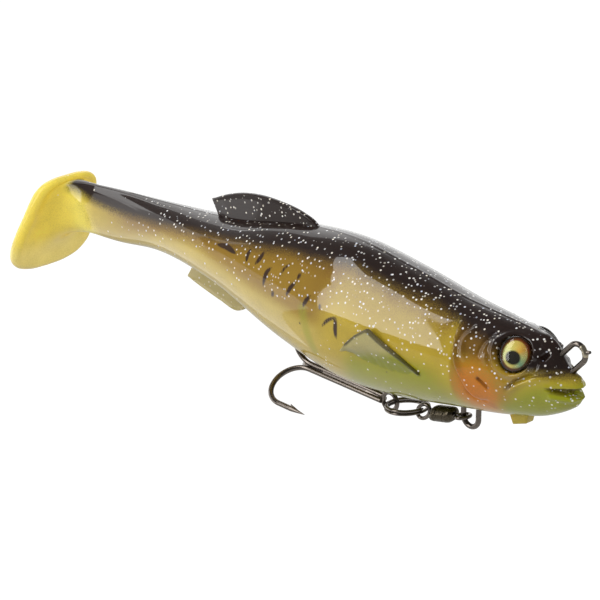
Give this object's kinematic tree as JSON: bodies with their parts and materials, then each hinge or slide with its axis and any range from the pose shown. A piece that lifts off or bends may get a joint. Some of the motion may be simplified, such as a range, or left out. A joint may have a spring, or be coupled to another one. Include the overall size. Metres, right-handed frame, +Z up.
{
  "type": "soft paddle-tail swimbait",
  "caption": "Soft-bodied fish-shaped fishing lure with a kicking paddle tail, an inner wire harness and keel weight, and a treble hook on a swivel parked under its belly.",
  "frame": {"origin": "centre of the line-tie loop at the nose, where the line or snap holds the lure", "axes": "+X forward out of the nose, +Y to the fish's left, +Z up towards its back"},
  "size_m": [0.1548, 0.0256, 0.0383],
  "materials": {
    "back_skin": "glossy translucent soft plastic with silver flake, near-black back, cream-gold flanks, green and orange tints",
    "tail_skin": "satin lemon-yellow soft plastic",
    "fin_skin": "glossy thin soft plastic with silver flake",
    "foil": "holographic gold foil disc with a printed black pupil",
    "dome": "clear cast resin",
    "black_nickel": "polished black-nickel plated steel wire",
    "swivel_body": "black-olive plated brass",
    "crimp": "dull pressed sleeve",
    "lead": "dull cast lead",
    "magnet": "bright nickel plating"
  },
  "bodies": {
    "bait": {"torso": "back_skin", "eye_foil_left": "foil", "eye_foil_right": "foil", "eye_dome_left": "dome", "eye_dome_right": "dome", "wire_harness": "black_nickel", "crimp_sleeve": "crimp", "keel_weight": "lead", "belly_magnet": "magnet"},
    "tail": {"tail_stem": "back_skin"},
    "paddle": {"tail_paddle": "tail_skin"},
    "dorsal": {"dorsal_fin": "fin_skin"},
    "anal": {"anal_fin": "fin_skin"},
    "pectoral_left": {"pectoral_fin_left": "fin_skin"},
    "pectoral_right": {"pectoral_fin_right": "fin_skin"},
    "swivel_front": {"swivel_front_eye": "black_nickel"},
    "barrel": {"swivel_barrel": "swivel_body"},
    "swivel_rear": {"swivel_rear_eye": "black_nickel"},
    "ring": {"split_ring": "black_nickel"},
    "hook": {"treble_hook": "black_nickel"}
  },
  "joints": [
    {"name": "tail_flex", "type": "hinge", "parent": "bait", "child": "tail", "pos_m": [-0.1084, 0, -0.0035], "axis": [0, 0, 1], "range_deg": [-25, 25], "stiffness_Nm_per_rad": 0.01},
    {"name": "paddle_kick", "type": "hinge", "parent": "tail", "child": "paddle", "pos_m": [-0.1375, 0, -0.0051], "axis": [0, 0, 1], "range_deg": [-35, 35], "stiffness_Nm_per_rad": 0.002},
    {"name": "dorsal_flex", "type": "hinge", "parent": "bait", "child": "dorsal", "pos_m": [-0.0794, 0, 0.0062], "axis": [0.9868, 0, 0.1618], "range_deg": [-15, 15], "stiffness_Nm_per_rad": 0.0005},
    {"name": "anal_flex", "type": "hinge", "parent": "bait", "child": "anal", "pos_m": [-0.0932, 0, -0.0114], "axis": [0.9792, 0, -0.2031], "range_deg": [-15, 15], "stiffness_Nm_per_rad": 0.0005},
    {"name": "pectoral_left_flex", "type": "hinge", "parent": "bait", "child": "pectoral_left", "pos_m": [-0.0389, 0.0107, -0.0101], "axis": [-1, 0, 0], "range_deg": [0, 25], "stiffness_Nm_per_rad": 0.0005},
    {"name": "pectoral_right_flex", "type": "hinge", "parent": "bait", "child": "pectoral_right", "pos_m": [-0.0389, -0.0107, -0.0101], "axis": [1, 0, 0], "range_deg": [0, 25], "stiffness_Nm_per_rad": 0.0005},
    {"name": "hanger_swing", "type": "hinge", "parent": "bait", "child": "swivel_front", "pos_m": [-0.0253, 0, -0.02029], "axis": [0, -1, 0], "range_deg": [0, 75]},
    {"name": "barrel_spin", "type": "hinge", "parent": "swivel_front", "child": "barrel", "pos_m": [-0.0253, 0, -0.02029], "axis": [-0.9799, 0, -0.1994], "continuous": true},
    {"name": "swivel_turn", "type": "hinge", "parent": "swivel_front", "child": "swivel_rear", "pos_m": [-0.0253, 0, -0.02029], "axis": [-0.9799, 0, -0.1994], "range_deg": [-3, 3]},
    {"name": "ring_swing", "type": "hinge", "parent": "swivel_rear", "child": "ring", "pos_m": [-0.03765, 0, -0.02281], "axis": [0, -1, 0], "range_deg": [0, 20]},
    {"name": "hook_swing", "type": "hinge", "parent": "ring", "child": "hook", "pos_m": [-0.04593, 0, -0.02338], "axis": [0, -1, 0], "range_deg": [0, 40]}
  ]
}
